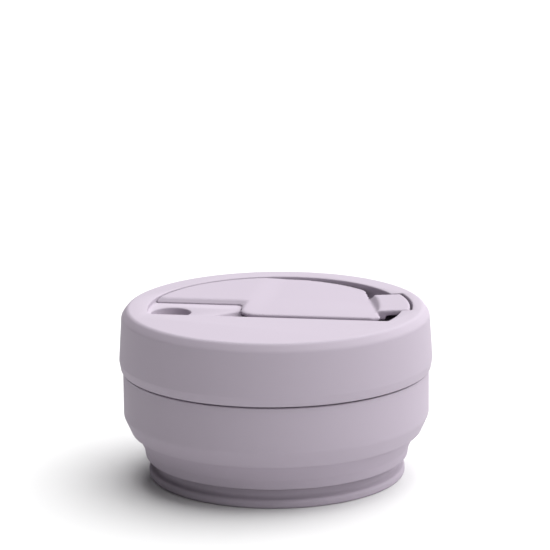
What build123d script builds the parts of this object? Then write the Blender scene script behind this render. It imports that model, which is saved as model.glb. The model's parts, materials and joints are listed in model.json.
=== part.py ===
"""Collapsible travel cup, stored flat: a nested silicone cup, a rim collar, a sleeve, and a lid
with a soft stopper.

Millimetres, +Z up. The origin is the middle of the foot's underside, so the cup stands on z = 0.
The lid's straight edge runs along X at the front (-Y), and the finger tab is on the right (+X).
"""

from build123d import *
from math import cos, radians, sin
import os

# Overall size
HEIGHT = 52.0
LID_R = 47.6
SLEEVE_R = 46.5

# Folded silicone cup: the base section and two plain tiers stand inside the upper tier
SHOULDER_Z = 5.4
TIER_FOOT_Z = 6.0
TIER_TOP_Z = 18.5
WALL = 2.2
WALL_LEAN = 1.3
EDGE_LAND = 1.2
BASE_LEAN = 1.0
WEB_WALL = 0.95
WEB_GAP = 0.05
BASE_TOP_R = 28.8
TIER_TOP_R = {"lower_tier": 33.3, "middle_tier": 38.0}

# Foot and base section
FOOT_R = 39.1
FOOT_FLAT_R = 38.4
FOOT_RIM_Z = 1.2
FOOT_TOP_Z = 2.4
STEM_R = 36.8
STEM_FLARE_R = 37.25
STEM_FLARE_Z = 3.4
FLOOR_Z = 4.0
FLOOR_FILLET = 4.0

# Upper tier and its rigid rim collar
UPPER_FOOT_Z = 6.2
UPPER_FOOT_R = 40.0
CONE_KNEE_Z = 9.1
CONE_KNEE_R = 40.5
CONE_TOP_Z = 14.2
CONE_TOP_R = 43.0
CONE_WALL = 2.1
UPPER_R = 44.9
UPPER_FULL_Z = 18.0
MOUTH_R = 42.0
MOUTH_FOOT_Z = 20.0
RIM_R = 45.1
RIM_Z = 47.0
COLLAR_IN_R = 43.2
COLLAR_R = 45.4
COLLAR_Z = (40.0, 46.0)

# Sleeve
SLEEVE_Z = (14.2, 32.9)
SLEEVE_LIP_IN_R = 43.6
SLEEVE_LIP_R = 44.2
SLEEVE_IN_R = 45.2
SLEEVE_FULL_Z = 19.0
SLEEVE_FILLET = 3.0

# Lid
SKIRT_Z = 33.4
SKIRT_IN_R = 45.7
SKIRT_EDGE_R = 47.1
SKIRT_WIDEST_Z = 36.2
SHOULDER_R = 46.7
LID_SHOULDER_Z = 49.6
LID_FLAT_R = 44.9
LID_FILLETS = {LID_SHOULDER_Z: 2.0, HEIGHT: 1.8, SKIRT_WIDEST_Z: 2.0}
ROOF_Z = 48.8
SEAT_Z = 47.3
SEAT_R = 42.6
PLUG_RING_R = (39.9, 41.7)
PLUG_RING_Z = 43.5
PLATE_Z = 46.4

# Recess in the lid, its raised track and the parking dimple
RECESS_R = 38.5
RECESS_AT = (0, -1.0)
CHORD_Y = -14.4
RECESS_FLOOR_Z = 48.2
TRACK_Z = 50.5
TRACK_RIGHT_X = -11.0
STEP_Y = 5.3
DIMPLE_AT = (-31.0, -6.4)
DIMPLE_R = 6.3
DIMPLE_DEPTH = 3.0
RELIEF = (5.2, 7.0)
RELIEF_OVERLAP = 0.5

# Stopper: anchor, living hinge, flap, finger tab, sip plug
SOFT_TOP_Z = 51.6
SOFT_GAP = 0.3
HINGE_X = -10.5
HINGE_WALL = 1.0
HINGE_END_INSET = 1.0
FLAP_FRONT_Y = -12.9
FLAP_CORNER_R = 4.5
FLAP_R = 37.7
FLAP_TOP_Z = 50.9
TAB_ANGLE = 14.5
FLAP_END = 30.3
TAB_END_R = 40.8
TAB_HALF_WIDTH = 10.0
TAB_OVERLAP = 0.5
TAB_POCKET_R = 41.5
TAB_POCKET_HALF_WIDTH = 10.7
TAB_POCKET_Z = 49.0
SIP_HOLE_R = 5.5
SIP_PLUG_R = (5.2, 4.7)
SIP_PLUG_Z = 46.6
SIP_DISTANCE = 27.0
BUTTON_PLACES = [(-17.0, 13.0), (-25.0, 20.0)]
BUTTON_HOLE_R = 1.55
BUTTON_STEM_R = 1.5
BUTTON_HEAD_R = 2.4
BUTTON_HEAD_Z = 45.2
BUTTON_TAPER = 12
HOLE_OVERRUN = 1.0

EDGE = 0.4
SMALL_EDGE = 0.25

os.makedirs("parts", exist_ok=True)


def save(part, name):
    """Label a finished sub-part and write its STEP file."""
    part.label = name
    export_step(part, f"parts/{name}.step")


tab_direction = Vector(cos(radians(TAB_ANGLE)), sin(radians(TAB_ANGLE)), 0)
tab_plane = Plane(origin=(0, 0, 0), x_dir=tab_direction, z_dir=(0, 0, 1))
sip_place = tab_direction * SIP_DISTANCE

# ---- foot and base section: the flared foot, the floor and the innermost wall, one moulding
with BuildPart() as foot_base:
    with BuildSketch(Plane.XZ) as profile:
        with BuildLine():
            Line((0, 0), (FOOT_FLAT_R, 0))
            ThreePointArc((FOOT_FLAT_R, 0), (FOOT_R, FOOT_RIM_Z), (FOOT_FLAT_R, FOOT_TOP_Z))
            ThreePointArc((FOOT_FLAT_R, FOOT_TOP_Z), (STEM_FLARE_R, STEM_FLARE_Z), (STEM_R, SHOULDER_Z))
            Polyline(
                (STEM_R, SHOULDER_Z),
                (BASE_TOP_R - BASE_LEAN, SHOULDER_Z),
                (BASE_TOP_R, TIER_TOP_Z - EDGE_LAND),
                (BASE_TOP_R, TIER_TOP_Z),
                (BASE_TOP_R - WALL, TIER_TOP_Z),
                (BASE_TOP_R - WALL - BASE_LEAN, FLOOR_Z),
                (0, FLOOR_Z),
                (0, 0),
            )
        make_face()
    revolve(axis=Axis.Z)
    inner_edges = foot_base.edges().filter_by(
        lambda e: e.geom_type == GeomType.CIRCLE
        and abs(e.center().Z - FLOOR_Z) < 0.01
        and e.radius < BASE_TOP_R - WALL
    )
    fillet(inner_edges, FLOOR_FILLET)
    fillet(foot_base.edges().group_by(Axis.Z)[-1], EDGE)
save(foot_base.part, "foot_base")

# ---- lower and middle tier: plain leaning rings, with a short upright land at each edge
for name, top_r in TIER_TOP_R.items():
    with BuildPart() as tier:
        with BuildSketch(Plane.XZ) as profile:
            with BuildLine():
                Polyline(
                    (top_r - WALL_LEAN - WALL, TIER_FOOT_Z),
                    (top_r - WALL_LEAN, TIER_FOOT_Z),
                    (top_r, TIER_TOP_Z - EDGE_LAND),
                    (top_r, TIER_TOP_Z),
                    (top_r - WALL, TIER_TOP_Z),
                    (top_r - WALL_LEAN - WALL, TIER_FOOT_Z + EDGE_LAND),
                    close=True,
                )
            make_face()
        revolve(axis=Axis.Z)
        fillet(tier.edges().group_by(Axis.Z)[-1], EDGE)
        fillet(tier.edges().group_by(Axis.Z)[0].sort_by(SortBy.RADIUS)[-1:], EDGE)
    save(tier.part, name)

# ---- upper tier: the cone seen below the sleeve, the wall behind it and the drinking rim
upper_inner_foot_r = TIER_TOP_R["middle_tier"] + WEB_WALL + WEB_GAP
with BuildPart() as upper_tier:
    with BuildSketch(Plane.XZ) as profile:
        with BuildLine():
            Polyline(
                (upper_inner_foot_r, UPPER_FOOT_Z),
                (UPPER_FOOT_R, UPPER_FOOT_Z),
                (CONE_KNEE_R, CONE_KNEE_Z),
                (CONE_TOP_R, CONE_TOP_Z),
                (UPPER_R, UPPER_FULL_Z),
                (UPPER_R, COLLAR_Z[0]),
                (COLLAR_IN_R, COLLAR_Z[0]),
                (COLLAR_IN_R, COLLAR_Z[1]),
                (RIM_R, COLLAR_Z[1]),
                (RIM_R, RIM_Z),
                (MOUTH_R, RIM_Z),
                (MOUTH_R, MOUTH_FOOT_Z),
                (CONE_TOP_R - CONE_WALL, CONE_TOP_Z),
                (upper_inner_foot_r, UPPER_FOOT_Z + EDGE_LAND),
                close=True,
            )
        make_face()
    revolve(axis=Axis.Z)
    fillet(upper_tier.edges().group_by(Axis.Z)[-1], EDGE)
    fillet(upper_tier.edges().group_by(Axis.Z)[0].sort_by(SortBy.RADIUS)[-1:], EDGE)
save(upper_tier.part, "upper_tier")

# ---- fold webs: the thin walls that roll inside out between one section's top and the next's foot
WEBS = {
    "fold_web_lower": (BASE_TOP_R, TIER_FOOT_Z),
    "fold_web_middle": (TIER_TOP_R["lower_tier"], TIER_FOOT_Z),
    "fold_web_upper": (TIER_TOP_R["middle_tier"], UPPER_FOOT_Z),
}
for name, (inner_r, foot_z) in WEBS.items():
    with BuildPart() as web:
        with BuildSketch(Plane.XY.offset(foot_z)):
            Circle(inner_r + WEB_GAP + WEB_WALL)
            Circle(inner_r + WEB_GAP, mode=Mode.SUBTRACT)
        extrude(amount=TIER_TOP_Z - foot_z)
    save(web.part, name)

# ---- rim collar: the rigid ring round the rim that the lid grips
with BuildPart() as rim_collar:
    with BuildSketch(Plane.XY.offset(COLLAR_Z[0])):
        Circle(COLLAR_R)
        Circle(COLLAR_IN_R, mode=Mode.SUBTRACT)
    extrude(amount=COLLAR_Z[1] - COLLAR_Z[0])
    chamfer(rim_collar.edges().filter_by(GeomType.CIRCLE).sort_by(SortBy.RADIUS)[-2:], SMALL_EDGE)
save(rim_collar.part, "rim_collar")

# ---- sleeve: a plain band with a soft chamfer down to its lower lip
with BuildPart() as sleeve:
    with BuildSketch(Plane.XZ) as profile:
        with BuildLine():
            Polyline(
                (SLEEVE_LIP_IN_R, SLEEVE_Z[0]),
                (SLEEVE_LIP_R, SLEEVE_Z[0]),
                (SLEEVE_R, SLEEVE_FULL_Z),
                (SLEEVE_R, SLEEVE_Z[1]),
                (SLEEVE_IN_R, SLEEVE_Z[1]),
                (SLEEVE_IN_R, UPPER_FULL_Z),
                close=True,
            )
        make_face()
    revolve(axis=Axis.Z)
    fillet(
        sleeve.edges().filter_by(
            lambda e: e.geom_type == GeomType.CIRCLE and abs(e.center().Z - SLEEVE_FULL_Z) < 0.01
        ),
        SLEEVE_FILLET,
    )
    fillet(sleeve.edges().group_by(Axis.Z)[-1], EDGE)
save(sleeve.part, "sleeve")

# ---- lid shell: skirt, soft shoulder, roof, the ring that drops into the mouth
with BuildPart() as lid_shell:
    with BuildSketch(Plane.XZ) as profile:
        with BuildLine():
            Polyline(
                (SKIRT_IN_R, SKIRT_Z),
                (SKIRT_EDGE_R, SKIRT_Z),
                (LID_R, SKIRT_WIDEST_Z),
                (SHOULDER_R, LID_SHOULDER_Z),
                (LID_FLAT_R, HEIGHT),
                (0, HEIGHT),
                (0, PLATE_Z),
                (PLUG_RING_R[0], PLATE_Z),
                (PLUG_RING_R[0], PLUG_RING_Z),
                (PLUG_RING_R[1], PLUG_RING_Z),
                (PLUG_RING_R[1], SEAT_Z),
                (SEAT_R, SEAT_Z),
                (SEAT_R, ROOF_Z),
                (SKIRT_IN_R, ROOF_Z),
                close=True,
            )
        make_face()
    revolve(axis=Axis.Z)
    for height, radius in LID_FILLETS.items():
        fillet(
            lid_shell.edges().filter_by(
                lambda e: e.geom_type == GeomType.CIRCLE
                and abs(e.center().Z - height) < 0.01
                and e.radius > LID_FLAT_R - 0.1
            ),
            radius,
        )
    fillet(
        lid_shell.edges().group_by(Axis.Z)[0].sort_by(SortBy.RADIUS)[-1:],
        EDGE,
    )

    # the D-shaped recess, less the raised track at its left front
    with BuildSketch(Plane.XY.offset(HEIGHT)):
        with Locations(RECESS_AT):
            Circle(RECESS_R)
        with Locations((0, CHORD_Y)):
            Rectangle(4 * RECESS_R, 2 * RECESS_R, align=(Align.CENTER, Align.MAX), mode=Mode.SUBTRACT)
        with Locations((TRACK_RIGHT_X, STEP_Y)):
            Rectangle(2 * RECESS_R, 2 * RECESS_R, align=(Align.MAX, Align.MAX), mode=Mode.SUBTRACT)
    extrude(amount=-(HEIGHT - RECESS_FLOOR_Z), mode=Mode.SUBTRACT)

    # the track
    with BuildSketch(Plane.XY.offset(HEIGHT)):
        with Locations(RECESS_AT):
            Circle(RECESS_R)
        with Locations((TRACK_RIGHT_X, STEP_Y)):
            Rectangle(
                2 * RECESS_R,
                STEP_Y - CHORD_Y,
                align=(Align.MAX, Align.MAX),
                mode=Mode.INTERSECT,
            )
    extrude(amount=-(HEIGHT - TRACK_Z), mode=Mode.SUBTRACT)

    # the relief pocket beside the flap's rounded corner
    with BuildSketch(Plane.XY.offset(HEIGHT)):
        with BuildLine():
            Polyline(
                (TRACK_RIGHT_X + RELIEF_OVERLAP, CHORD_Y),
                (TRACK_RIGHT_X - RELIEF[0], CHORD_Y),
                (TRACK_RIGHT_X, CHORD_Y + RELIEF[1]),
                (TRACK_RIGHT_X + RELIEF_OVERLAP, CHORD_Y + RELIEF[1]),
                close=True,
            )
        make_face()
    extrude(amount=-(HEIGHT - RECESS_FLOOR_Z), mode=Mode.SUBTRACT)

    # the parking dimple
    with BuildSketch(Plane.XY.offset(TRACK_Z)):
        with Locations(DIMPLE_AT):
            Circle(DIMPLE_R)
    extrude(amount=-DIMPLE_DEPTH, mode=Mode.SUBTRACT)

    # the notch in the rim for the finger tab
    with BuildSketch(tab_plane.offset(HEIGHT)):
        Circle(TAB_POCKET_R)
        with Locations((FLAP_END, 0)):
            Rectangle(
                RECESS_R,
                2 * TAB_POCKET_HALF_WIDTH,
                align=(Align.MIN, Align.CENTER),
                mode=Mode.INTERSECT,
            )
    extrude(amount=-(HEIGHT - TAB_POCKET_Z), mode=Mode.SUBTRACT)

    # sip hole and the two holes that the anchor's buttons pass through
    with Locations((sip_place.X, sip_place.Y, RECESS_FLOOR_Z)):
        Hole(SIP_HOLE_R, depth=RECESS_FLOOR_Z - PLATE_Z + HOLE_OVERRUN)
    with Locations(*[(x, y, RECESS_FLOOR_Z) for x, y in BUTTON_PLACES]):
        Hole(BUTTON_HOLE_R, depth=RECESS_FLOOR_Z - PLATE_Z + HOLE_OVERRUN)
save(lid_shell.part, "lid_shell")

# ---- lid seal: the soft ring in the seat above the rim
with BuildPart() as lid_seal:
    with BuildSketch(Plane.XY.offset(SEAT_Z)):
        Circle(COLLAR_R - 0.2)
        Circle(SEAT_R, mode=Mode.SUBTRACT)
    extrude(amount=ROOF_Z - SEAT_Z)
    fillet(lid_seal.edges().group_by(Axis.Z)[0], EDGE)
save(lid_seal.part, "lid_seal")

# ---- stopper anchor: fills the recess behind the track
with BuildPart() as stopper_anchor:
    with BuildSketch(Plane.XY.offset(RECESS_FLOOR_Z)):
        with Locations(RECESS_AT):
            Circle(FLAP_R)
        with Locations((TRACK_RIGHT_X, STEP_Y + SOFT_GAP)):
            Rectangle(
                2 * RECESS_R,
                2 * RECESS_R,
                align=(Align.MAX, Align.MIN),
                mode=Mode.INTERSECT,
            )
    extrude(amount=SOFT_TOP_Z - RECESS_FLOOR_Z)
save(stopper_anchor.part, "stopper_anchor")

# ---- stopper hinge: the thin strip of the same silicone that bends
hinge_back_y = (FLAP_R**2 - TRACK_RIGHT_X**2) ** 0.5 + RECESS_AT[1] - HINGE_END_INSET
with BuildPart() as stopper_hinge:
    with BuildSketch(Plane.XY.offset(SOFT_TOP_Z - HINGE_WALL)):
        with Locations((TRACK_RIGHT_X, STEP_Y + SOFT_GAP)):
            Rectangle(
                HINGE_X - TRACK_RIGHT_X - WEB_GAP,
                hinge_back_y - STEP_Y - SOFT_GAP,
                align=(Align.MIN, Align.MIN),
            )
    extrude(amount=HINGE_WALL)
save(stopper_hinge.part, "stopper_hinge")

# ---- stopper flap with its finger tab
with BuildPart() as stopper_flap:
    with BuildSketch(Plane.XY.offset(RECESS_FLOOR_Z + SOFT_GAP)):
        with Locations(RECESS_AT):
            Circle(FLAP_R)
        with Locations((HINGE_X, FLAP_FRONT_Y)):
            Rectangle(
                2 * RECESS_R,
                2 * RECESS_R,
                align=(Align.MIN, Align.MIN),
                mode=Mode.INTERSECT,
            )
        with Locations(tab_direction * FLAP_END):
            Rectangle(
                RECESS_R,
                2 * RECESS_R,
                rotation=TAB_ANGLE,
                align=(Align.MIN, Align.CENTER),
                mode=Mode.SUBTRACT,
            )
    extrude(amount=FLAP_TOP_Z - RECESS_FLOOR_Z - SOFT_GAP)
    fillet(stopper_flap.edges().filter_by(Axis.Z).sort_by(Axis.Y)[:2], FLAP_CORNER_R)
    with BuildSketch(tab_plane.offset(TAB_POCKET_Z + SOFT_GAP)):
        Circle(TAB_END_R)
        with Locations((FLAP_END - TAB_OVERLAP, 0)):
            Rectangle(
                RECESS_R,
                2 * TAB_HALF_WIDTH,
                align=(Align.MIN, Align.CENTER),
                mode=Mode.INTERSECT,
            )
    extrude(amount=HEIGHT - TAB_POCKET_Z - SOFT_GAP)
save(stopper_flap.part, "stopper_flap")

# ---- sip plug: the tapered stub under the flap that closes the sip hole
with BuildPart() as sip_plug:
    with BuildSketch(Plane.XY.offset(RECESS_FLOOR_Z + SOFT_GAP)):
        with Locations((sip_place.X, sip_place.Y)):
            Circle(SIP_PLUG_R[0])
    with BuildSketch(Plane.XY.offset(SIP_PLUG_Z)):
        with Locations((sip_place.X, sip_place.Y)):
            Circle(SIP_PLUG_R[1])
    loft()
save(sip_plug.part, "sip_plug")

# ---- anchor buttons: two mushroom studs that hold the anchor down through the lid
with BuildPart() as anchor_buttons:
    with BuildSketch(Plane.XY.offset(RECESS_FLOOR_Z)):
        with Locations(*BUTTON_PLACES):
            Circle(BUTTON_STEM_R)
    extrude(amount=PLATE_Z - RECESS_FLOOR_Z)
    with BuildSketch(Plane.XY.offset(PLATE_Z)):
        with Locations(*BUTTON_PLACES):
            Circle(BUTTON_HEAD_R)
    extrude(amount=BUTTON_HEAD_Z - PLATE_Z, taper=BUTTON_TAPER)
save(anchor_buttons.part, "anchor_buttons")
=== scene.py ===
"""Collapsible travel cup, stored flat: a nested silicone cup, a rim collar, a sleeve, and a lid
with a soft stopper.

The script is laid out as an add-on. Each operator models one piece, or one group of like pieces,
round the frame. Metres, +Z up. The recess's straight edge is at the front (-Y) of the lid, and the
stopper's finger tab is on the right (+X).
"""

import json
import math

import bpy
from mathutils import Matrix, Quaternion, Vector


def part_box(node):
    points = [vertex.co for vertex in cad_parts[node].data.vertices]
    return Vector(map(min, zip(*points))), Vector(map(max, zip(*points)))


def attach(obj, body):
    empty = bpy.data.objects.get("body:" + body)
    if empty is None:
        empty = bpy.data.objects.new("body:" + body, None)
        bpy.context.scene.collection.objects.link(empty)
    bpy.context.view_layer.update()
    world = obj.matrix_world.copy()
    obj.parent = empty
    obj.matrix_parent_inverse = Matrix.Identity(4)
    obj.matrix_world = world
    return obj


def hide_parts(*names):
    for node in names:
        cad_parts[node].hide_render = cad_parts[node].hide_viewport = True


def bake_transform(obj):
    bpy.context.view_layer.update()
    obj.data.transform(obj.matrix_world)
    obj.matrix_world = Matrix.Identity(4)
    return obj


bl_info = {
    "name": "Collapsible Travel Cup",
    "version": (1, 0, 0),
    "blender": (4, 5, 0),
    "location": "View3D > Sidebar > Travel Cup",
    "description": "Models a folded silicone travel cup with its sleeve, lid and stopper",
    "category": "Object",
}

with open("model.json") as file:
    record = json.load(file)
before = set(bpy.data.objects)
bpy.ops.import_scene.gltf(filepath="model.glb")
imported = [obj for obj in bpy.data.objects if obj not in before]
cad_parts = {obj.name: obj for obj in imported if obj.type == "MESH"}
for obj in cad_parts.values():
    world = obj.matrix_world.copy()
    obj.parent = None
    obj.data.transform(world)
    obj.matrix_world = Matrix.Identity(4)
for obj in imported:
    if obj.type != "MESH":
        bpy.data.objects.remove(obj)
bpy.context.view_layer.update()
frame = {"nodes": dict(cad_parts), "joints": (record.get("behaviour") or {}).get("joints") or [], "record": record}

MM = 0.001
RING_SEGMENTS = 192
HOLE_SEGMENTS = 96
COLLAR_WALL = 2.2 * MM
WEB_WALL = 0.95 * MM
WEB_ROWS = 14
TAB_GAP = 0.7 * MM
STRAY_DISTANCE = 0.05 * MM
KEY_DIRECTION = (0.334, 0.411, 0.848)
FILL_DIRECTION = (0.75, -0.5, 0.42)
COLOUR_OF_SLOT = {
    material["slot"]: tuple(material["base_color"][:3]) + (1.0,)
    for material in frame["record"]["materials"]
}
JOINTS = {joint["name"]: joint for joint in frame["joints"]}


def radius_of(node):
    """Outer radius of a round CAD node."""
    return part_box(node)[1][0]


def foot_of(node):
    """Height of a CAD node's lowest point."""
    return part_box(node)[0][2]


def top_of(node):
    """Height of a CAD node's highest point."""
    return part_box(node)[1][2]


def centre_of(node):
    """Centre of a CAD node's box, seen from above."""
    low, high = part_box(node)
    return (low[0] + high[0]) / 2.0, (low[1] + high[1]) / 2.0


def half_width_of(node):
    """Half of a CAD node's width along X."""
    low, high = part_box(node)
    return (high[0] - low[0]) / 2.0


def tab_ways(angle):
    """Unit vectors along the finger tab and across it."""
    along = Vector((math.cos(angle), math.sin(angle), 0.0))
    return along, Vector((-along.y, along.x, 0.0))


# ---------------------------------------------------------------------------- properties


class CupSizes(bpy.types.PropertyGroup):
    """Sizes that the frame's boxes don't give."""

    silicone_wall: bpy.props.FloatProperty(
        name="Silicone wall", description="Thickness of the tiers", default=2.2 * MM, unit="LENGTH"
    )
    tier_lean: bpy.props.FloatProperty(
        name="Tier lean", description="How far a tier widens upwards", default=1.3 * MM,
        unit="LENGTH",
    )
    soft_edge: bpy.props.FloatProperty(
        name="Soft edge", description="Rounding of moulded silicone edges", default=0.5 * MM,
        unit="LENGTH",
    )
    hard_edge: bpy.props.FloatProperty(
        name="Hard edge", description="Rounding of moulded plastic edges", default=0.4 * MM,
        unit="LENGTH",
    )
    recess_radius: bpy.props.FloatProperty(
        name="Recess radius", description="Round side of the lid's recess", default=38.5 * MM,
        unit="LENGTH",
    )
    recess_shift: bpy.props.FloatProperty(
        name="Recess shift", default=1.0 * MM, unit="LENGTH",
        description="How far the recess's round side is centred ahead of the axis",
    )
    chord_depth: bpy.props.FloatProperty(
        name="Chord", description="Distance of the recess's straight edge from the cup's axis",
        default=14.4 * MM, unit="LENGTH",
    )
    track_depth: bpy.props.FloatProperty(
        name="Track depth", description="Depth of the raised track in the recess", default=1.5 * MM,
        unit="LENGTH",
    )
    recess_depth: bpy.props.FloatProperty(
        name="Recess depth", description="Depth of the recess under the stopper", default=3.8 * MM,
        unit="LENGTH",
    )
    tab_angle: bpy.props.FloatProperty(
        name="Tab angle", description="Direction of the finger tab from +X",
        default=math.radians(14.5), subtype="ANGLE",
    )
    tab_radius: bpy.props.FloatProperty(
        name="Tab end", description="Distance of the tab's end from the axis", default=40.8 * MM,
        unit="LENGTH",
    )
    tab_width: bpy.props.FloatProperty(
        name="Tab width", description="Width of the finger tab", default=20.0 * MM, unit="LENGTH"
    )


class CupColours(bpy.types.PropertyGroup):
    """Colours and surface of the cup's materials."""

    silicone: bpy.props.FloatVectorProperty(
        name="Silicone", description="Colour of the moulded silicone", size=4, subtype="COLOR",
        default=COLOUR_OF_SLOT["cup_silicone"], min=0.0, max=1.0,
    )
    stopper: bpy.props.FloatVectorProperty(
        name="Stopper", description="Colour of the stopper", size=4, subtype="COLOR",
        default=COLOUR_OF_SLOT["stopper_silicone"], min=0.0, max=1.0,
    )
    plastic: bpy.props.FloatVectorProperty(
        name="Plastic", description="Colour of the lid, the collar and the sleeve", size=4,
        subtype="COLOR", default=COLOUR_OF_SLOT["lid_plastic"], min=0.0, max=1.0,
    )
    seal: bpy.props.FloatVectorProperty(
        name="Seal", description="Colour of the lid's seal ring", size=4, subtype="COLOR",
        default=COLOUR_OF_SLOT["seal_silicone"], min=0.0, max=1.0,
    )
    silicone_roughness: bpy.props.FloatProperty(
        name="Silicone roughness", description="Roughness of the silicone", default=0.62,
        min=0.0, max=1.0,
    )
    plastic_roughness: bpy.props.FloatProperty(
        name="Plastic roughness", description="Roughness of the plastic", default=0.52,
        min=0.0, max=1.0,
    )


class StudioSettings(bpy.types.PropertyGroup):
    """Camera, lamps and floor."""

    camera_distance: bpy.props.FloatProperty(
        name="Camera distance", description="Distance of the camera", default=0.9, unit="LENGTH"
    )
    camera_azimuth: bpy.props.FloatProperty(
        name="Camera azimuth", description="How far the camera stands to the right of the front",
        default=math.radians(9.5), subtype="ANGLE",
    )
    camera_elevation: bpy.props.FloatProperty(
        name="Camera elevation", description="Pitch of the camera's axis",
        default=math.radians(13.5), subtype="ANGLE",
    )
    camera_roll: bpy.props.FloatProperty(
        name="Camera roll", description="Tilt of the camera about its axis",
        default=math.radians(0.6), subtype="ANGLE",
    )
    camera_lens: bpy.props.FloatProperty(
        name="Lens", description="Focal length", default=195.0, unit="CAMERA"
    )
    aim_height: bpy.props.FloatProperty(
        name="Aim height", description="Height on the cup's axis that the camera looks at",
        default=61.5 * MM, unit="LENGTH",
    )
    key_strength: bpy.props.FloatProperty(
        name="Key lamp", description="Strength of the key lamp", default=5.45, min=0.0
    )
    key_softness: bpy.props.FloatProperty(
        name="Key softness", description="Apparent width of the key lamp",
        default=math.radians(90.0), subtype="ANGLE",
    )
    fill_strength: bpy.props.FloatProperty(
        name="Fill lamp", description="Strength of the lamp that fills the front right",
        default=0.9, min=0.0,
    )
    fill_softness: bpy.props.FloatProperty(
        name="Fill softness", description="Apparent width of the fill lamp",
        default=math.radians(50.0), subtype="ANGLE",
    )
    room_strength: bpy.props.FloatProperty(
        name="Room light", description="Strength of the light from all round", default=0.1, min=0.0
    )
    floor_tone: bpy.props.FloatProperty(
        name="Floor tone", description="Brightness of the floor's paper", default=0.76, min=0.0,
        max=1.0,
    )


# ---------------------------------------------------------------------------- modelling helpers


def start_clean():
    """Leave edit mode and deselect everything."""
    if bpy.context.mode != "OBJECT":
        bpy.ops.object.mode_set(mode="OBJECT")
    bpy.ops.object.select_all(action="DESELECT")


def make_active(piece):
    """Select one object alone."""
    start_clean()
    piece.select_set(True)
    bpy.context.view_layer.objects.active = piece


def settle(piece, smooth_angle=40.0):
    """Apply the object's place and shade it smooth, with creases where faces meet steeply."""
    make_active(piece)
    bpy.ops.object.transform_apply(location=True, rotation=True, scale=True)
    bpy.ops.object.shade_smooth_by_angle(angle=math.radians(smooth_angle))


def rounded(corners):
    """Outline points from corners given as (radius, height, fillet), with each fillet as an arc."""
    steps = 6
    outline = []
    for index, (r, z, fillet) in enumerate(corners):
        here = Vector((r, z))
        if fillet <= 0.0:
            outline.append((r, z))
            continue
        before = (Vector(corners[index - 1][:2]) - here).normalized()
        after = (Vector(corners[(index + 1) % len(corners)][:2]) - here).normalized()
        half_turn = before.angle(after) / 2.0
        centre = here + (before + after).normalized() * (fillet / math.sin(half_turn))
        arm = here + before * (fillet / math.tan(half_turn)) - centre
        sweep = math.pi - 2.0 * half_turn
        if before.x * after.y - before.y * after.x > 0.0:
            sweep = -sweep
        for step in range(steps + 1):
            turn = sweep * step / steps
            cosine, sine = math.cos(turn), math.sin(turn)
            outline.append((
                centre.x + arm.x * cosine - arm.y * sine,
                centre.y + arm.x * sine + arm.y * cosine,
            ))
    return outline


def turned(name, outline, capped=False, segments=RING_SEGMENTS):
    """A round piece: a circle extruded and widened along an outline of (radius, height) points.
    capped closes both ends flat; otherwise the last ring is joined to the first."""
    start_clean()
    r, z = outline[0]
    bpy.ops.mesh.primitive_circle_add(
        vertices=segments, radius=r, location=(0.0, 0.0, z),
        fill_type="NGON" if capped else "NOTHING",
    )
    piece = bpy.context.object
    piece.name = name
    bpy.ops.object.mode_set(mode="EDIT")
    bpy.ops.mesh.select_all(action="SELECT")
    for next_r, next_z in outline[1:] + ([] if capped else outline[:1]):
        move = {"value": (0.0, 0.0, next_z - z)}
        if capped:
            bpy.ops.mesh.extrude_region_move(TRANSFORM_OT_translate=move)
        else:
            bpy.ops.mesh.extrude_edges_move(TRANSFORM_OT_translate=move)
        scale = next_r / r
        bpy.ops.transform.resize(value=(scale, scale, 1.0), center_override=(0.0, 0.0, next_z))
        r, z = next_r, next_z
    bpy.ops.mesh.select_all(action="SELECT")
    bpy.ops.mesh.remove_doubles(threshold=0.001 * MM)
    bpy.ops.mesh.normals_make_consistent(inside=False)
    bpy.ops.object.mode_set(mode="OBJECT")
    settle(piece)
    return piece


def drum(name, radius, low, high, centre=(0.0, 0.0), segments=128, flare=0.0):
    """A cylinder between two heights, wider at the top by flare, to be cut from or to cut with."""
    start_clean()
    bpy.ops.mesh.primitive_cone_add(
        vertices=segments, radius1=radius, radius2=radius + flare, depth=high - low,
        location=(*centre, (low + high) / 2.0),
    )
    piece = bpy.context.object
    piece.name = name
    bpy.ops.object.transform_apply(location=True, rotation=True, scale=True)
    return piece


def keep_beyond(piece, point, direction):
    """Trim a piece to what lies beyond a plane, and close the cut."""
    make_active(piece)
    bpy.ops.object.mode_set(mode="EDIT")
    bpy.ops.mesh.select_all(action="SELECT")
    bpy.ops.mesh.bisect(
        plane_co=point, plane_no=direction, use_fill=True, clear_inner=True, clear_outer=False
    )
    bpy.ops.mesh.select_all(action="SELECT")
    bpy.ops.mesh.normals_make_consistent(inside=False)
    bpy.ops.object.mode_set(mode="OBJECT")


def keep_between(piece, direction, reach):
    """Trim a piece to what lies within reach of the cup's axis, along a direction both ways."""
    keep_beyond(piece, -direction * reach, direction)
    keep_beyond(piece, direction * reach, -direction)


def combine(piece, tool, operation):
    """Cut a tool from a piece, or join it on, and use the tool up."""
    make_active(piece)
    boolean = piece.modifiers.new("Boolean", "BOOLEAN")
    boolean.operation = operation
    boolean.solver = "EXACT"
    boolean.object = tool
    bpy.ops.object.modifier_apply(modifier=boolean.name)
    bpy.data.objects.remove(tool)


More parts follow.
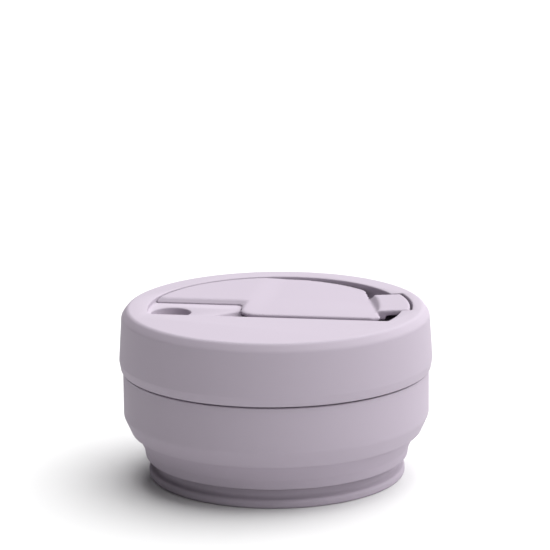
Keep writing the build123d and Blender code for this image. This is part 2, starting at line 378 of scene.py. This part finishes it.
def round_uprights(piece, places, width, segments=8):
    """Round the upright edges that stand at the given (x, y) places."""
    make_active(piece)
    mesh = piece.data
    plumb, near = 0.01 * MM, 0.4 * MM
    for vertex in mesh.vertices:
        vertex.select = False
    for polygon in mesh.polygons:
        polygon.select = False
    for edge in mesh.edges:
        ends = [mesh.vertices[i].co for i in edge.vertices]
        upright = (ends[0] - ends[1]).xy.length < plumb
        edge.select = upright and any((ends[0].xy - Vector(p)).length < near for p in places)
        if edge.select:
            for i in edge.vertices:
                mesh.vertices[i].select = True
    bpy.ops.object.mode_set(mode="EDIT")
    bpy.context.tool_settings.mesh_select_mode = (False, True, False)
    bpy.ops.mesh.bevel(offset=width, segments=segments, affect="EDGES", clamp_overlap=False)
    bpy.ops.object.mode_set(mode="OBJECT")


def soften_edges(piece, width):
    """Clear stray vertices, then bevel every steep edge with an applied modifier."""
    flat_angle, steep_angle = math.radians(0.5), math.radians(30.0)
    make_active(piece)
    bpy.ops.object.mode_set(mode="EDIT")
    bpy.ops.mesh.select_all(action="SELECT")
    bpy.ops.mesh.remove_doubles(threshold=STRAY_DISTANCE)
    bpy.ops.mesh.dissolve_degenerate(threshold=STRAY_DISTANCE)
    bpy.ops.mesh.dissolve_limited(angle_limit=flat_angle)
    bpy.ops.object.mode_set(mode="OBJECT")
    bevel = piece.modifiers.new("Bevel", "BEVEL")
    bevel.width = width
    bevel.segments = 3
    bevel.limit_method = "ANGLE"
    bevel.angle_limit = steep_angle
    bevel.use_clamp_overlap = False
    bevel.miter_outer = "MITER_ARC"
    bpy.ops.object.modifier_apply(modifier=bevel.name)


def remesh(piece, voxel):
    """Rebuild a piece from even voxels, so that it can be warped and its edges melt together."""
    make_active(piece)
    modifier = piece.modifiers.new("Remesh", "REMESH")
    modifier.mode = "VOXEL"
    modifier.voxel_size = voxel
    bpy.ops.object.modifier_apply(modifier=modifier.name)


def clamped(value):
    """The value, held between 0 and 1."""
    return min(1.0, max(0.0, value))


def ease(value):
    """0 below 0, 1 above 1, and a smooth step between them."""
    value = clamped(value)
    return value * value * (3.0 - 2.0 * value)


def flap_sag(point, hinge_x):
    """How far the stopper lies below the front edge of its flap, which droops to its back right."""
    length, front_y, width = 45.0 * MM, -12.0 * MM, 26.0 * MM
    along = clamped((point.x - hinge_x) / length)
    back = ease((point.y - front_y) / width)
    beyond_hinge = ease((point.x - hinge_x) / (9.0 * MM))
    return ((0.1 + 0.4 * back) * beyond_hinge + 1.5 * along * along * back) * MM


def edge_dip(point, hinge_x, step):
    """How far the stopper's top dips where its edges meet the track: along the anchor's front, and
    down the flap's left side until just short of its front corner."""
    run, corner_y = 2.0 * MM, -9.0 * MM
    anchor = ease((step + 2.2 * MM - point.y) / run) * ease((hinge_x - point.x) / run)
    flap = ease((hinge_x + 1.6 * MM - point.x) / run) * ease((point.y - corner_y) / (5.0 * MM))
    ahead = 1.0 - ease((point.y - step) / run)
    return (0.95 * anchor + 0.8 * flap * ahead * (1.0 - anchor)) * MM


def finish_piece(piece, material, body=None, replaces=()):
    """Give a piece its material, the nodes it stands for and the body it rides on."""
    piece.data.materials.clear()
    piece.data.materials.append(material)
    if replaces:
        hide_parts(*replaces)
    if body:
        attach(piece, body)


# ---------------------------------------------------------------------------- materials


def moulded_material(name, colour, roughness, grain, softness, sheen):
    """A matte moulded surface: faint mottling, a fine grain and a little light under the skin."""
    material = bpy.data.materials.get(name)
    if material:
        return material
    material = bpy.data.materials.new(name)
    material.use_nodes = True
    nodes, links = material.node_tree.nodes, material.node_tree.links
    nodes.clear()
    output = nodes.new("ShaderNodeOutputMaterial")
    shader = nodes.new("ShaderNodeBsdfPrincipled")
    links.new(shader.outputs["BSDF"], output.inputs["Surface"])
    shader.inputs["Subsurface Weight"].default_value = softness
    shader.inputs["Subsurface Radius"].default_value = (1.0, 0.75, 1.0)
    shader.inputs["Subsurface Scale"].default_value = 1.2 * MM
    shader.inputs["Specular IOR Level"].default_value = 0.3
    shader.inputs["Sheen Weight"].default_value = sheen
    shader.inputs["Sheen Roughness"].default_value = 0.5
    place = nodes.new("ShaderNodeTexCoord")

    mottle = nodes.new("ShaderNodeTexNoise")
    mottle.inputs["Scale"].default_value = 55.0
    mottle.inputs["Detail"].default_value = 4.0
    links.new(place.outputs["Object"], mottle.inputs["Vector"])
    tint = nodes.new("ShaderNodeValToRGB")
    tint.color_ramp.elements[0].position = 0.35
    tint.color_ramp.elements[1].position = 0.65
    tint.color_ramp.elements[0].color = tuple(0.975 * c for c in colour[:3]) + (1.0,)
    tint.color_ramp.elements[1].color = tuple(min(1.0, 1.02 * c) for c in colour[:3]) + (1.0,)
    links.new(mottle.outputs["Fac"], tint.inputs["Fac"])
    links.new(tint.outputs["Color"], shader.inputs["Base Color"])

    speckle = nodes.new("ShaderNodeTexNoise")
    speckle.inputs["Scale"].default_value = 1400.0
    speckle.inputs["Detail"].default_value = 3.0
    speckle.inputs["Roughness"].default_value = 0.6
    links.new(place.outputs["Object"], speckle.inputs["Vector"])
    shine = nodes.new("ShaderNodeMapRange")
    shine.inputs["To Min"].default_value = roughness - 0.05
    shine.inputs["To Max"].default_value = roughness + 0.05
    links.new(speckle.outputs["Fac"], shine.inputs["Value"])
    links.new(shine.outputs["Result"], shader.inputs["Roughness"])

    bump = nodes.new("ShaderNodeBump")
    bump.inputs["Strength"].default_value = grain
    bump.inputs["Distance"].default_value = 0.05 * MM
    links.new(speckle.outputs["Fac"], bump.inputs["Height"])
    links.new(bump.outputs["Normal"], shader.inputs["Normal"])
    return material


def silicone(colours):
    """Cup silicone: soft, with a dry bloom."""
    return moulded_material(
        "cup_silicone", colours.silicone, colours.silicone_roughness,
        grain=0.25, softness=0.12, sheen=0.05,
    )


def stopper_silicone(colours):
    """Stopper silicone: a touch softer to the light."""
    return moulded_material(
        "stopper_silicone", colours.stopper, colours.silicone_roughness,
        grain=0.2, softness=0.15, sheen=0.03,
    )


def lid_plastic(colours):
    """Plastic of the lid, the collar and the sleeve: finely textured by its mould."""
    return moulded_material(
        "lid_plastic", colours.plastic, colours.plastic_roughness,
        grain=0.35, softness=0.05, sheen=0.0,
    )


def seal_silicone(colours):
    """Seal ring silicone: smoother and paler."""
    return moulded_material(
        "seal_silicone", colours.seal, roughness=0.45, grain=0.1, softness=0.2, sheen=0.0
    )


# ---------------------------------------------------------------------------- pieces


class CUP_OT_folded_cup(bpy.types.Operator):
    """Model the silicone cup: foot, three tiers and the webs that fold between them"""

    bl_idname = "cup.folded_cup"
    bl_label = "Folded Cup"

    def execute(self, context):
        sizes, colours = context.scene.cup_sizes, context.scene.cup_colours
        material = silicone(colours)
        wall, lean, edge = sizes.silicone_wall, sizes.tier_lean, sizes.soft_edge

        foot_r = radius_of("foot_base")
        stem_r = foot_r - 2.3 * MM
        base_r = 28.8 * MM
        inside_z, shelf_z, crown = 4.0 * MM, 5.4 * MM, top_of("foot_base")
        foot = turned(
            "cup_foot",
            rounded([
                (foot_r - 0.8 * MM, 0.0, 0.0),
                (foot_r, 0.1 * MM, 0.8 * MM),
                (foot_r, 2.4 * MM, 1.1 * MM),
                (stem_r + 0.3 * MM, 3.1 * MM, 1.2 * MM),
                (stem_r, shelf_z, 0.4 * MM),
                (base_r - 1.0 * MM, shelf_z, 1.0 * MM),
                (base_r, crown, edge),
                (base_r - wall, crown, edge),
                (base_r - wall - 1.0 * MM, inside_z, 4.0 * MM),
                (12.0 * MM, inside_z, 0.0),
            ]),
            capped=True,
        )
        finish_piece(foot, material, "base", ["foot_base"])

        for tier, body in (("lower_tier", "lower"), ("middle_tier", "middle")):
            crown_r, low, high = radius_of(tier), foot_of(tier), top_of(tier)
            ring = turned(
                f"cup_{tier}",
                rounded([
                    (crown_r - lean - wall, low, 0.4 * edge),
                    (crown_r - lean, low, edge),
                    (crown_r, high - 1.2 * MM, 0.0),
                    (crown_r, high, edge),
                    (crown_r - wall, high, edge),
                    (crown_r - lean - wall, low + 1.2 * MM, 0.0),
                ]),
            )
            finish_piece(ring, material, body, [tier])

        low, high = foot_of("upper_tier"), top_of("upper_tier")
        wall_r = radius_of("rim_collar") - 0.5 * MM
        collar_low, collar_high = foot_of("rim_collar"), top_of("rim_collar")
        groove_r = radius_of("rim_collar") - COLLAR_WALL
        rim_r = radius_of("upper_tier")
        fold_r, mouth_r = 39.0 * MM, 42.0 * MM
        knee_z, cone_top_z = 9.1 * MM, 14.2 * MM
        ring = turned(
            "cup_upper_tier",
            rounded([
                (fold_r, low, 0.3 * edge),
                (40.0 * MM, low, 0.8 * edge),
                (40.5 * MM, knee_z, 4.0 * MM),
                (43.0 * MM, cone_top_z, 1.0 * MM),
                (wall_r, 18.0 * MM, 1.0 * MM),
                (wall_r, collar_low, 0.0),
                (groove_r, collar_low, 0.0),
                (groove_r, collar_high, 0.0),
                (rim_r, collar_high, 0.0),
                (rim_r, high, 0.9 * edge),
                (mouth_r, high, 0.9 * edge),
                (mouth_r, 20.0 * MM, 3.0 * MM),
                (40.9 * MM, cone_top_z, 3.0 * MM),
                (fold_r, low + 1.2 * MM, 0.0),
            ]),
        )
        finish_piece(ring, material, "upper", ["upper_tier"])

        webs = (
            ("fold_web_lower", "lower", "base"),
            ("fold_web_middle", "middle", "lower"),
            ("fold_web_upper", "upper", "middle"),
        )
        for node, outer, inner in webs:
            web_r, low, high = radius_of(node), foot_of(node), top_of(node)
            heights = [low + (high - low) * row / WEB_ROWS for row in range(WEB_ROWS + 1)]
            outer_side = [(web_r, z) for z in heights]
            inner_side = [(web_r - WEB_WALL, z) for z in reversed(heights)]
            web = turned(f"cup_{node}", outer_side + inner_side)
            finish_piece(web, material, replaces=[node])
            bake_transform(web)
        return {"FINISHED"}


class CUP_OT_rim_collar(bpy.types.Operator):
    """Model the rigid collar that stiffens the cup's rim"""

    bl_idname = "cup.rim_collar"
    bl_label = "Rim Collar"

    def execute(self, context):
        sizes, colours = context.scene.cup_sizes, context.scene.cup_colours
        outer, low, high = radius_of("rim_collar"), foot_of("rim_collar"), top_of("rim_collar")
        inner = outer - COLLAR_WALL
        edge = sizes.hard_edge
        collar = turned(
            "rim_collar_ring",
            rounded([
                (inner, low, 0.0),
                (outer, low, edge),
                (outer, high, edge),
                (inner, high, 0.0),
            ]),
        )
        finish_piece(collar, lid_plastic(colours), "upper", ["rim_collar"])
        return {"FINISHED"}


class CUP_OT_sleeve(bpy.types.Operator):
    """Model the sleeve, a plain band with a soft chamfer to its lower lip"""

    bl_idname = "cup.sleeve"
    bl_label = "Sleeve"

    def execute(self, context):
        sizes, colours = context.scene.cup_sizes, context.scene.cup_colours
        outer, low, high = radius_of("sleeve"), foot_of("sleeve"), top_of("sleeve")
        inner = outer - 1.3 * MM
        edge = sizes.hard_edge
        band = turned(
            "sleeve_band",
            rounded([
                (outer - 2.9 * MM, low, 0.0),
                (outer - 2.2 * MM, low, 0.3 * MM),
                (outer, low + 4.9 * MM, 3.4 * MM),
                (outer, high, edge),
                (inner, high, edge),
                (inner, low + 3.8 * MM, 1.5 * MM),
            ]),
        )
        finish_piece(band, lid_plastic(colours), "sleeve_body", ["sleeve"])
        return {"FINISHED"}


class CUP_OT_lid(bpy.types.Operator):
    """Model the lid shell: skirt, soft shoulder, and the recess that the stopper lies in"""

    bl_idname = "cup.lid"
    bl_label = "Lid"

    def execute(self, context):
        sizes, colours = context.scene.cup_sizes, context.scene.cup_colours
        outer, low, high = radius_of("lid_shell"), foot_of("lid_shell"), top_of("lid_shell")
        edge = sizes.hard_edge
        seat = foot_of("lid_seal")
        roof = top_of("lid_seal")
        plate = high - 5.6 * MM
        ring_low = high - 8.5 * MM
        ring_inner_r, ring_outer_r = 39.9 * MM, 41.7 * MM
        seal_r, skirt_r = 42.6 * MM, 45.7 * MM
        shell = turned(
            "lid_cover",
            rounded([
                (ring_inner_r, plate, 0.0),
                (ring_inner_r, ring_low, edge),
                (ring_outer_r, ring_low, edge),
                (ring_outer_r, seat, 0.0),
                (seal_r, seat, 0.0),
                (seal_r, roof, 0.0),
                (skirt_r, roof, 0.0),
                (skirt_r, low, edge),
                (outer - 0.5 * MM, low, 0.4 * MM),
                (outer, low + 2.8 * MM, 2.0 * MM),
                (outer - 0.9 * MM, high - 2.4 * MM, 2.0 * MM),
                (outer - 2.7 * MM, high, 1.8 * MM),
                (0.0, high, 0.0),
            ])[:-1],
            capped=True,
        )

        above = high + 2.0 * MM
        floor = high - sizes.recess_depth
        track = high - sizes.track_depth
        chord = (0.0, -sizes.chord_depth, 0.0)
        step = (0.0, 5.3 * MM, 0.0)
        track_end = (-9.4 * MM, 0.0, 0.0)
        centre = (0.0, -sizes.recess_shift)
        tab, across = tab_ways(sizes.tab_angle)

        track_cut = drum("track_cut", sizes.recess_radius, track, above, centre)
        keep_beyond(track_cut, chord, (0, 1, 0))
        chord_shift = sizes.chord_depth - sizes.recess_shift
        corner_reach = math.sqrt(sizes.recess_radius**2 - chord_shift**2)
        round_uprights(track_cut, [(-corner_reach, -sizes.chord_depth)], 1.6 * MM, segments=5)
        combine(shell, track_cut, "DIFFERENCE")

        flap_cut = drum("flap_cut", sizes.recess_radius, floor, above, centre)
        keep_beyond(flap_cut, chord, (0, 1, 0))
        keep_beyond(flap_cut, track_end, (1, 0, 0))
        anchor_cut = drum("anchor_cut", sizes.recess_radius, floor, above, centre)
        keep_beyond(anchor_cut, step, (0, 1, 0))
        combine(flap_cut, anchor_cut, "UNION")
        combine(shell, flap_cut, "DIFFERENCE")

        notch = drum("notch", sizes.tab_radius + TAB_GAP, high - 3.0 * MM, above)
        keep_beyond(notch, tab * (sizes.recess_radius - 5.0 * MM), tab)
        keep_between(notch, across, sizes.tab_width / 2.0 + TAB_GAP)
        combine(shell, notch, "DIFFERENCE")

        relief_at, relief_r = (-8.6 * MM, -14.4 * MM), 13.0 * MM
        slope_at, slope_way = (-10.2 * MM, -1.5 * MM, track), (1.8, -1.0, 1.0)
        relief = drum("relief", relief_r, floor, above, relief_at)
        keep_beyond(relief, chord, (0, 1, 0))
        keep_beyond(relief, slope_at, slope_way)
        combine(shell, relief, "DIFFERENCE")

        dimple_at, dimple_r = (-31.0 * MM, -6.4 * MM), 6.0 * MM
        dimple = drum("dimple", dimple_r, track - 3.0 * MM, above, dimple_at, HOLE_SEGMENTS)
        combine(shell, dimple, "DIFFERENCE")

        hole_at, hole_r = centre_of("sip_plug"), half_width_of("sip_plug") + 0.3 * MM
        hole = drum("sip_hole", hole_r, plate - 1.0 * MM, above, hole_at, HOLE_SEGMENTS)
        combine(shell, hole, "DIFFERENCE")

        soften_edges(shell, edge)
        settle(shell, 30.0)
        finish_piece(shell, lid_plastic(colours), "lid", ["lid_shell"])
        return {"FINISHED"}


class CUP_OT_stopper(bpy.types.Operator):
    """Model the one-piece silicone stopper: anchor, hinge line, flap and finger tab"""

    bl_idname = "cup.stopper"
    bl_label = "Stopper"

    def execute(self, context):
        sizes, colours = context.scene.cup_sizes, context.scene.cup_colours
        rim = top_of("lid_shell")
        top = rim - 0.05 * MM
        under = rim - sizes.track_depth + 0.05 * MM
        hinge_x = JOINTS["flap_hinge"]["pos_m"][0]
        flap_left = hinge_x - 0.9 * MM
        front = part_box("stopper_flap")[0][1] + 1.9 * MM
        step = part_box("stopper_anchor")[0][1] - 1.2 * MM
        back_r = sizes.recess_radius - 0.15 * MM
        tab, across = tab_ways(sizes.tab_angle)
        flap_end = 30.3 * MM
        flap_lean = 0.15

        sheet = drum("stopper", back_r, under, top, (0.0, -sizes.recess_shift), RING_SEGMENTS)
        keep_beyond(sheet, (0.0, front, 0.0), (0, 1, 0))
        keep_beyond(sheet, tab * flap_end, -tab)
        corner = drum("corner", 2.0 * back_r, under - 1.0 * MM, top + 1.0 * MM, segments=64)
        keep_beyond(corner, (flap_left, step, 0.0), (-1, -flap_lean, 0))
        keep_beyond(corner, (0.0, step, 0.0), (0, -1, 0))
        combine(sheet, corner, "DIFFERENCE")
        front_right = tab * flap_end + across * ((front - tab.y * flap_end) / across.y)
        front_left = (flap_left + flap_lean * (step - front), front)
        round_uprights(sheet, [front_left], 5.5 * MM)
        round_uprights(sheet, [front_right.xy], 4.0 * MM)
        round_uprights(sheet, [(flap_left, step)], 1.2 * MM, segments=4)
        remesh(sheet, 0.8 * MM)
        for vertex in sheet.data.vertices:
            share = 0.35 + 0.65 * clamped((vertex.co.z - under) / (top - under))
            dip = share * edge_dip(vertex.co, hinge_x, step)
            vertex.co.z -= flap_sag(vertex.co, hinge_x) + dip

        grip_top = top_of("stopper_flap") - 0.05 * MM
        leg_r, leg_low, leg_top = flap_end + 3.4 * MM, under - 1.6 * MM, grip_top - 0.2 * MM
        grip = drum(
            "grip", sizes.tab_radius, grip_top - 1.7 * MM, grip_top, segments=RING_SEGMENTS
        )
        leg = drum("leg", leg_r, leg_low, leg_top, segments=RING_SEGMENTS)
        for block in (grip, leg):
            keep_beyond(block, tab * (flap_end - 2.0 * MM), tab)
            keep_between(block, across, sizes.tab_width / 2.0)
        combine(grip, leg, "UNION")
        scoop_r, scoop_flare = 60.0 * MM, 3.6 * MM
        scoop_angle = sizes.tab_angle - 0.125
        scoop_way = Vector((math.cos(scoop_angle), math.sin(scoop_angle)))
        scoop = drum(
            "scoop", scoop_r - 1.8 * MM, top - 2.0 * MM, rim + 2.0 * MM,
            scoop_way * (31.6 * MM - scoop_r), segments=256, flare=scoop_flare,
        )
        combine(grip, scoop, "DIFFERENCE")
        combine(sheet, grip, "UNION")
        remesh(sheet, (0.4) * MM)
        smooth = sheet.modifiers.new("Smooth", "SMOOTH")
        smooth.factor = 0.5
        smooth.iterations = 3
        bpy.ops.object.modifier_apply(modifier=smooth.name)
        settle(sheet, 60.0)
        finish_piece(
            sheet, stopper_silicone(colours),
            replaces=["stopper_anchor", "stopper_hinge", "stopper_flap"],
        )
        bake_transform(sheet)
        return {"FINISHED"}


class CUP_OT_small_parts(bpy.types.Operator):
    """Model the sip plug, and finish the seal ring and the anchor's studs"""

    bl_idname = "cup.small_parts"
    bl_label = "Plug, Seal and Studs"

    def execute(self, context):
        colours = context.scene.cup_colours
        radius, low, high = half_width_of("sip_plug"), foot_of("sip_plug"), top_of("sip_plug")
        plug = turned(
            "sip_plug_stub",
            rounded([
                (radius, high + 0.4 * MM, 0.0),
                (radius, high - 0.4 * MM, 0.3 * MM),
                (radius - 0.5 * MM, low, 0.5 * MM),
                (radius - 3.0 * MM, low, 0.0),
            ]),
            capped=True,
            segments=HOLE_SEGMENTS,
        )
        plug.location = (*centre_of("sip_plug"), 0.0)
        settle(plug)
        finish_piece(plug, stopper_silicone(colours), "flap", ["sip_plug"])

        for node, material in (
            ("lid_seal", seal_silicone(colours)),
            ("anchor_buttons", stopper_silicone(colours)),
        ):
            mesh = frame["nodes"][node].data
            if mesh.materials:
                for index in range(len(mesh.materials)):
                    mesh.materials[index] = material
            else:
                mesh.materials.append(material)
        return {"FINISHED"}


class CUP_OT_studio(bpy.types.Operator):
    """Set up the pale floor, the soft key and fill lamps, the room light and the camera"""

    bl_idname = "cup.studio"
    bl_label = "Studio"

    def execute(self, context):
        studio = context.scene.cup_studio
        start_clean()
        bpy.ops.mesh.primitive_plane_add(size=12.0, location=(0.0, 0.0, 0.0))
        floor = context.object
        floor.name = "floor"
        paper = bpy.data.materials.new("floor_paper")
        paper.use_nodes = True
        shader = paper.node_tree.nodes["Principled BSDF"]
        tone = studio.floor_tone
        shader.inputs["Base Color"].default_value = (tone, tone, tone, 1.0)
        shader.inputs["Roughness"].default_value = 0.9
        shader.inputs["Specular IOR Level"].default_value = 0.1
        floor.data.materials.append(paper)

        lamps = (
            ("key_lamp", KEY_DIRECTION, studio.key_strength, studio.key_softness),
            ("fill_lamp", FILL_DIRECTION, studio.fill_strength, studio.fill_softness),
        )
        for name, direction, strength, softness in lamps:
            bpy.ops.object.light_add(type="SUN", location=direction)
            lamp = context.object
            lamp.name = name
            lamp.data.energy = strength
            lamp.data.angle = softness
            lamp.rotation_mode = "QUATERNION"
            lamp.rotation_quaternion = Vector(direction).to_track_quat("Z", "Y")

        world = bpy.data.worlds.new("studio_room")
        context.scene.world = world
        world.use_nodes = True
        nodes, links = world.node_tree.nodes, world.node_tree.links
        nodes.clear()
        out = nodes.new("ShaderNodeOutputWorld")
        mix = nodes.new("ShaderNodeMixShader")
        seen = nodes.new("ShaderNodeBackground")
        lit = nodes.new("ShaderNodeBackground")
        path = nodes.new("ShaderNodeLightPath")
        seen.inputs["Color"].default_value = (1.0, 1.0, 1.0, 1.0)
        seen.inputs["Strength"].default_value = 1.0
        lit.inputs["Color"].default_value = (1.0, 1.0, 1.0, 1.0)
        lit.inputs["Strength"].default_value = studio.room_strength
        links.new(path.outputs["Is Camera Ray"], mix.inputs["Fac"])
        links.new(lit.outputs["Background"], mix.inputs[1])
        links.new(seen.outputs["Background"], mix.inputs[2])
        links.new(mix.outputs["Shader"], out.inputs["Surface"])
        context.scene.view_settings.view_transform = "Standard"

        bpy.ops.object.camera_add()
        camera = context.object
        camera.name = "camera"
        azimuth, elevation = studio.camera_azimuth, studio.camera_elevation
        back = Vector((
            math.sin(azimuth) * math.cos(elevation),
            -math.cos(azimuth) * math.cos(elevation),
            math.sin(elevation),
        ))
        camera.location = Vector((0.0, 0.0, studio.aim_height)) + back * studio.camera_distance
        camera.rotation_mode = "QUATERNION"
        aim = (-back).to_track_quat("-Z", "Y")
        camera.rotation_quaternion = aim @ Quaternion((0.0, 0.0, 1.0), -studio.camera_roll)
        camera.data.lens = studio.camera_lens
        camera.data.sensor_width = 36.0
        camera.data.clip_start = 0.05
        camera.data.clip_end = 50.0
        context.scene.camera = camera
        return {"FINISHED"}


class CUP_PT_sidebar(bpy.types.Panel):
    """Lists the cup's pieces and its studio"""

    bl_label = "Travel Cup"
    bl_idname = "CUP_PT_sidebar"
    bl_space_type = "VIEW_3D"
    bl_region_type = "UI"
    bl_category = "Travel Cup"

    def draw(self, context):
        for operator in OPERATORS:
            self.layout.operator(operator.bl_idname)
        scene = context.scene
        for group in (scene.cup_sizes, scene.cup_colours, scene.cup_studio):
            box = self.layout.box()
            for name in group.__annotations__:
                box.prop(group, name)


OPERATORS = (
    CUP_OT_folded_cup,
    CUP_OT_rim_collar,
    CUP_OT_sleeve,
    CUP_OT_lid,
    CUP_OT_stopper,
    CUP_OT_small_parts,
    CUP_OT_studio,
)
CLASSES = (CupSizes, CupColours, StudioSettings, *OPERATORS, CUP_PT_sidebar)


def register():
    """Register the classes and hang the settings on the scene."""
    for cls in CLASSES:
        bpy.utils.register_class(cls)
    bpy.types.Scene.cup_sizes = bpy.props.PointerProperty(type=CupSizes)
    bpy.types.Scene.cup_colours = bpy.props.PointerProperty(type=CupColours)
    bpy.types.Scene.cup_studio = bpy.props.PointerProperty(type=StudioSettings)


def unregister():
    """Take the settings and the classes away again."""
    del bpy.types.Scene.cup_studio
    del bpy.types.Scene.cup_colours
    del bpy.types.Scene.cup_sizes
    for cls in reversed(CLASSES):
        bpy.utils.unregister_class(cls)


def main():
    """Model every piece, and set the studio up."""
    register()
    bpy.ops.cup.folded_cup()
    bpy.ops.cup.rim_collar()
    bpy.ops.cup.sleeve()
    bpy.ops.cup.lid()
    bpy.ops.cup.stopper()
    bpy.ops.cup.small_parts()
    bpy.ops.cup.studio()


if __name__ == "__main__":
    main()
